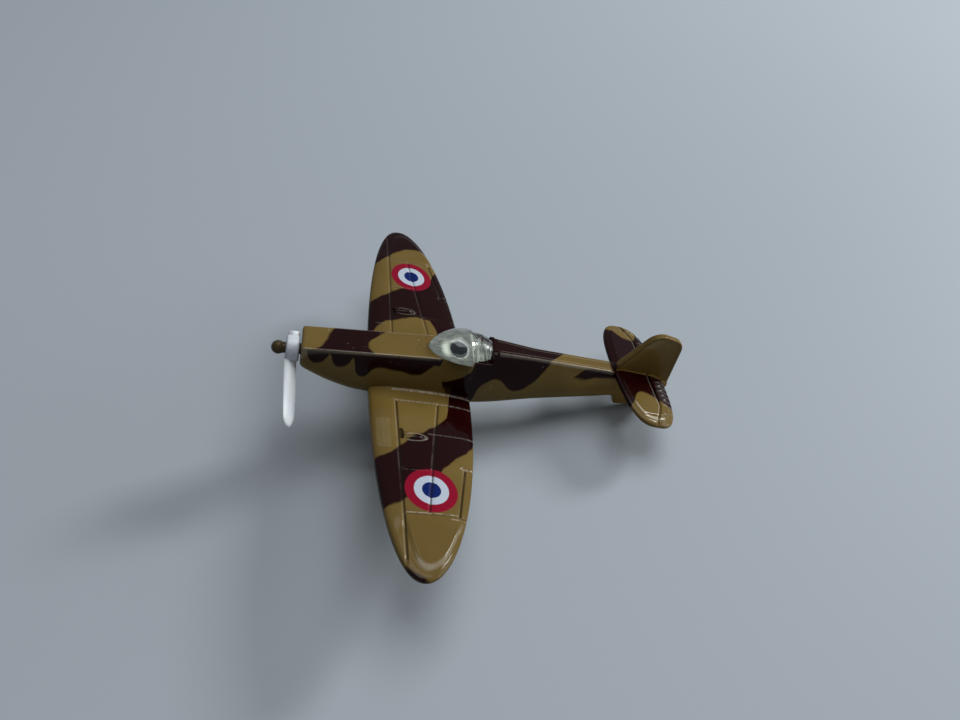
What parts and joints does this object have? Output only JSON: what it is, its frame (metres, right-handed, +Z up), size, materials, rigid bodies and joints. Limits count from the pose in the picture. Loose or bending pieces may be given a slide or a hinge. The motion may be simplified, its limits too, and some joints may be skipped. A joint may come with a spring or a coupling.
{
  "type": "propeller plane model",
  "caption": "Small die-cast propeller aeroplane with elliptical wings, a clear canopy, a free-turning propeller and three rolling wheels.",
  "frame": {"origin": "on the standing surface, under the middle of the bounding box", "axes": "nose towards -X, right wing towards +Y, +Z up; the propeller's axis is tilted nose up by the stance on the wheels"},
  "size_m": [0.0776, 0.0892, 0.0254],
  "materials": {
    "camouflage_paint": "gloss, tan with dark brown camouflage",
    "tan_paint": "gloss tan",
    "bare_rivet": "bare",
    "clear_plastic": "clear, slightly yellowed",
    "white_plastic": "moulded, slightly translucent",
    "steel_pin": "plain",
    "black_plastic": "moulded"
  },
  "bodies": {
    "airframe": {"upper_casting": "camouflage_paint", "lower_casting": "camouflage_paint", "casting_rivets": "bare_rivet", "canopy": "clear_plastic", "propeller_spindle": "camouflage_paint", "left_leg": "tan_paint", "right_leg": "tan_paint", "left_axle": "steel_pin", "right_axle": "steel_pin", "tail_axle": "steel_pin"},
    "propeller": {"propeller": "white_plastic"},
    "left_wheel": {"left_wheel": "black_plastic"},
    "right_wheel": {"right_wheel": "black_plastic"},
    "tail_wheel": {"tail_wheel": "black_plastic"}
  },
  "joints": [
    {"name": "propeller_spin", "type": "hinge", "parent": "airframe", "child": "propeller", "pos_m": [-0.03512, 0, 0.02273], "axis": [0.9746, 0, -0.224], "continuous": true},
    {"name": "left_wheel_roll", "type": "hinge", "parent": "airframe", "child": "left_wheel", "pos_m": [-0.01939, -0.0108, 0.0027], "axis": [0, 1, 0], "continuous": true},
    {"name": "right_wheel_roll", "type": "hinge", "parent": "airframe", "child": "right_wheel", "pos_m": [-0.01939, 0.0108, 0.0027], "axis": [0, 1, 0], "continuous": true},
    {"name": "tail_wheel_roll", "type": "hinge", "parent": "airframe", "child": "tail_wheel", "pos_m": [0.03228, 0, 0.0016], "axis": [0, 1, 0], "continuous": true}
  ]
}
